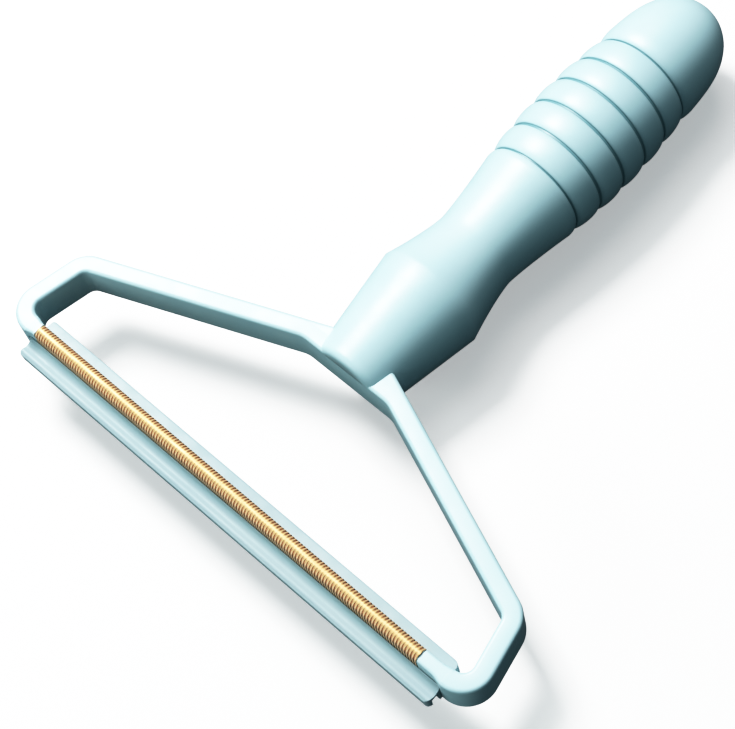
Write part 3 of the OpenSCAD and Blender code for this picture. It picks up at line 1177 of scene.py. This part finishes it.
@dataclass
class GuardStrip:
    """Winged strip pressed on from below, with a wall on each side of the copper's legs."""

    end_x: float = 62.69
    front: float = 6.2
    back: float = 4.4
    wall_in: float = 1.8
    wall: float = 1.05
    wall_h: float = 6.6
    floor: float = 1.2
    front_rim: tuple[float, float] = (0.08, 0.12)
    back_rim: tuple[float, float] = (0.12, 0.1)
    rim_w: float = 0.3
    gutter_at: float = 3.9
    crest_at: float = 5.2
    crest_h: float = 5.2
    valley: float = 0.4
    fall: float = 0.35
    fall_back: float = 0.12
    edge_run: float = 0.35
    edge_turn: tuple[tuple[float, float], ...] = ((0.1, 0.14), (0.0, 0.4))
    skin: float = 1.0
    lip_h: float = 1.4
    lip_turn: tuple[tuple[float, float], ...] = ((0.18, 0.25), (0.35, 0), (0.85, 0), (1.0, 0.2))
    lip_root: float = 1.25
    foot_r: float = 0.15
    set_back: float = 1.3
    set_back_run: int = 13
    set_back_from: tuple[float, float] = (1.5, 1.9)
    corner_left: float = 0.7
    corner_right: float = 1.5
    bottom: float = -3.9
    curve: int = 10
    steps: int = 8
    sharp_deg: float = 35.0

    def front_top(self) -> Outline:
        """Draws the front side's rim, its gutter and its wing.

        Returns:
            Points as distance outwards and height.
        """
        inset, drop = self.front_rim
        rim = self.wall_in + self.rim_w
        top = self.bottom + self.wall_h
        high = self.bottom + self.crest_h
        low = high - self.valley
        shares = [k / self.curve for k in range(self.curve + 1)]
        points = [(self.wall_in, top - drop), (self.wall_in + inset, top)]
        for turn in (math.pi / 2 * u for u in shares):
            out = rim + (self.gutter_at - rim) * (1 - math.cos(turn))
            points.append((out, top - (top - low) * math.sin(turn)))
        for u in shares[1:]:
            out = self.gutter_at + u * (self.crest_at - self.gutter_at)
            points.append((out, low + self.valley * ease(u, 0, 1)))
        rest = self.front - self.edge_run - self.crest_at
        return points + [(self.crest_at + u * rest, high - self.fall * u * u) for u in shares[1:]]

    def back_top(self) -> Outline:
        """Draws the back side's wing, which is level with its wall.

        Returns:
            Points as distance outwards and height.
        """
        inset, drop = self.back_rim
        top = self.bottom + self.wall_h
        start = self.wall_in + inset
        run = self.back - self.edge_run - start
        shares = [k / self.curve for k in range(self.curve + 1)]
        wing = [(start + u * run, top - self.fall_back * u * u) for u in shares]
        return [(self.wall_in, top - drop)] + wing

    def side_outline(self, reach: float, top: Outline) -> Outline:
        """Draws one side from the floor's top over the wall and the wing to the foot.

        Args:
            reach: Distance from the bar's middle to the wing's edge.
            top: The rim and the wing's top.

        Returns:
            Points as distance outwards and height.
        """
        out = self.wall_in + self.wall
        edge, lip = top[-1][1], self.bottom + self.lip_h
        ceiling = min(z for _, z in top) - self.skin
        points = [(self.wall_in, self.bottom + self.floor)] + top
        points += [(reach - inset, edge - drop) for inset, drop in self.edge_turn]
        points += [(reach - inset, lip + rise) for inset, rise in self.lip_turn]
        points += [(reach - self.lip_root, ceiling), (out, ceiling)]
        return points + [(out, self.bottom + self.foot_r), (out - self.foot_r, self.bottom)]

    def build(self, finish: bpy.types.Material) -> bpy.types.Object:
        """Builds the guard.

        Args:
            finish: Its plastic.

        Returns:
            The finished guard.
        """
        form = Form()
        behind = self.side_outline(self.back, self.back_top())
        ahead = self.side_outline(self.front, self.front_top())
        back = [Vector((-self.end_x, y, z)) for y, z in behind]
        front = [Vector((-self.end_x, -y, z)) for y, z in ahead]
        face = form.outline_section(back + front[::-1])
        near = [1 - math.cos(math.pi / 2 * k / self.steps) for k in range(self.steps + 1)]
        stops = [-self.end_x + self.corner_left * d for d in near[1:]]
        stops += [-self.end_x + 1 + k for k in range(self.set_back_run + 1)]
        stops += [self.end_x - self.corner_right * d for d in reversed(near)]
        place = -self.end_x
        for stop in stops:
            face = form.run(face, Vector((stop - place, 0, 0)))
            place = stop
        for vert in form.bm.verts:
            self.shape_end(vert)
        piece = form.finish("guard_wings", self.sharp_deg)
        dress(piece, finish, Body.GUARD, Slot.PLASTIC, "guard_strip")
        return piece

    def shape_end(self, vert: bmesh.types.BMVert) -> None:
        """Rounds the wings' corners, and sets the back wing's left end back.

        Args:
            vert: A corner of the mesh, which is moved.
        """
        gap = max(0.0, self.end_x - abs(vert.co.x))
        radius = self.corner_left if vert.co.x < 0 else self.corner_right
        if gap < radius:
            draw = radius - math.sqrt(radius**2 - (radius - gap) ** 2)
            vert.co.y = min(self.back - draw, max(-self.front + draw, vert.co.y))
        near = 1 - ease(vert.co.x + self.end_x, 0, self.set_back_run)
        vert.co.x += self.set_back * near * ease(vert.co.y, *self.set_back_from)


# ---- Studio ----


@dataclass(frozen=True)
class Softbox:
    """A square studio light that faces the middle of the comb, in metres and watts."""

    name: str
    place: tuple[float, float, float]
    size: float
    power: float
    colour: Colour = (1.0, 1.0, 1.0)

    def light(self) -> None:
        """Adds the light to the scene."""
        data = bpy.data.lights.new(self.name, "AREA")
        data.size = self.size
        data.energy = self.power
        data.color = self.colour
        lamp = bpy.data.objects.new(self.name, data)
        lamp.location = self.place
        lamp.rotation_euler = (-Vector(self.place)).to_track_quat("-Z", "Y").to_euler()
        bpy.context.scene.collection.objects.link(lamp)


@dataclass
class Studio:
    """Pale floor, soft light and the photograph's camera."""

    eye: Vector = field(default_factory=lambda: Vector((174.83, -141.23, 406.23)))
    right: Vector = field(default_factory=lambda: Vector((0.72299301, 0.67712376, -0.13705668)))
    down: Vector = field(default_factory=lambda: Vector((0.56727516, -0.69509468, -0.44163591)))
    ahead: Vector = field(default_factory=lambda: Vector((-0.39430954, 0.24155083, -0.88666408)))
    focal_px: float = 2009.51
    sensor_w: float = 36.0
    clip_start: float = 0.01
    floor_z: float = -0.2
    floor_half: float = 3000.0
    ambient: float = 0.15
    ambient_colour: Colour = (0.5, 0.88, 1.0)
    white_level: float = 1.8
    film: tuple[tuple[float, float], ...] = (
        (0.07, 0.06),
        (0.2, 0.2),
        (0.34, 0.37),
        (0.55, 0.6),
        (1.0, 0.88),
        (1.35, 0.96),
        (1.6, 0.99),
    )

    def build(self, floor: PaleFloor) -> None:
        """Sets the studio up.

        Args:
            floor: The floor's finish.
        """
        self.add_camera()
        self.add_floor(floor)
        for box in self.lights():
            box.light()
        world = bpy.data.worlds.new("studio_air")
        world.use_nodes = True
        sky = world.node_tree.nodes["Background"]
        sky.inputs["Color"].default_value = (*self.ambient_colour, 1.0)
        sky.inputs["Strength"].default_value = self.ambient
        bpy.context.scene.world = world
        self.set_film()

    def set_film(self) -> None:
        """Sets a film curve that keeps the dark tones and rounds off the bright ones."""
        view = bpy.context.scene.view_settings
        view.view_transform = "Standard"
        view.use_curve_mapping = True
        mapping = view.curve_mapping
        mapping.white_level = (self.white_level,) * 3
        curve = mapping.curves[3]
        curve.points[-1].location = (1.0, 1.0)
        for light, shown in self.film:
            curve.points.new(light / self.white_level, shown)
        mapping.update()

    def add_camera(self) -> None:
        """Adds the camera at the photograph's viewing angle."""
        data = bpy.data.cameras.new("photo_view")
        data.sensor_fit = "HORIZONTAL"
        data.sensor_width = self.sensor_w
        data.lens = self.focal_px / IMAGE_WIDTH_PX * self.sensor_w
        data.clip_start = self.clip_start
        camera = bpy.data.objects.new("photo_view", data)
        axes = Matrix((self.right, -self.down, -self.ahead)).transposed().to_4x4()
        camera.matrix_world = Matrix.Translation(self.eye * MM) @ axes
        bpy.context.scene.collection.objects.link(camera)
        bpy.context.scene.camera = camera

    def add_floor(self, finish: PaleFloor) -> None:
        """Adds the floor.

        Args:
            finish: Its finish.
        """
        bm = bmesh.new()
        bmesh.ops.create_grid(bm, x_segments=1, y_segments=1, size=self.floor_half * MM)
        bmesh.ops.translate(bm, vec=(0, 0, self.floor_z * MM), verts=bm.verts)
        mesh = bpy.data.meshes.new("studio_floor")
        bm.to_mesh(mesh)
        bm.free()
        floor = bpy.data.objects.new("studio_floor", mesh)
        mesh.materials.append(finish.make())
        bpy.context.scene.collection.objects.link(floor)
        LOG.info("%s: laid", floor.name)

    @staticmethod
    def lights() -> list[Softbox]:
        """Lists the lights, with the key light from the photograph's upper left."""
        return [
            Softbox("key", (-0.55, 0.1, 0.75), 0.3, 12.0),
            Softbox("sheen", (-0.37, 0.22, 0.83), 0.7, 5.0),
            Softbox("fill", (-0.25, -0.8, 0.3), 0.5, 3.0, (0.85, 1.0, 1.0)),
        ]


def main() -> None:
    """Builds the comb and its studio."""
    logging.basicConfig(level=logging.INFO, format="%(name)s: %(message)s")
    aqua = MouldedPlastic(
        name="aqua_moulded",
        colour=(0.45, 0.66, 0.7),
        deep=(0.42, 0.63, 0.675),
        rubbed=(0.58, 0.75, 0.78),
    ).make()
    strip = MouldedPlastic(
        name="aqua_strip",
        colour=(0.32, 0.44, 0.465),
        deep=(0.29, 0.41, 0.44),
        rubbed=(0.38, 0.5, 0.53),
        coat=0.02,
        roughness=(0.5, 0.62),
        flow=(25.0, 90.0, 90.0),
    ).make()
    copper = RolledCopper(
        name="rolled_copper",
        # Crest and flank colours: painted light, set by height
        crest=(0.64, 0.41, 0.18),
        flank=(1.0, 0.65, 0.39),
        tarnish=(0.85, 0.46, 0.22),
        # Painted shade in the gaps between the ribs
        gap_high=(0.62, 0.33, 0.17),
        gap_low=(0.1, 0.025, 0.01),
        crest_z=(0.0202, 0.0209),
        gap_z=(0.0178, 0.0204),
        far_y=(-0.0755, -0.07544),
        axis=(BAR_Y * MM, (AXIS_Z + CopperComb.arc_z) * MM),
        depth=(0.00164, 0.00173),
    ).make()
    floor = PaleFloor(
        name="pale_floor", colour=(0.82, 0.8, 0.79), bounce=(0.03, 0.03, 0.03), glow=0.36
    )
    LoopFrame().build(aqua)
    grip = RoundGrip()
    grip.build_grip(aqua)
    grip.build_cap(aqua)
    CopperComb().build(copper)
    GuardStrip().build(strip)
    Studio().build(floor)


if __name__ == "__main__":
    main()
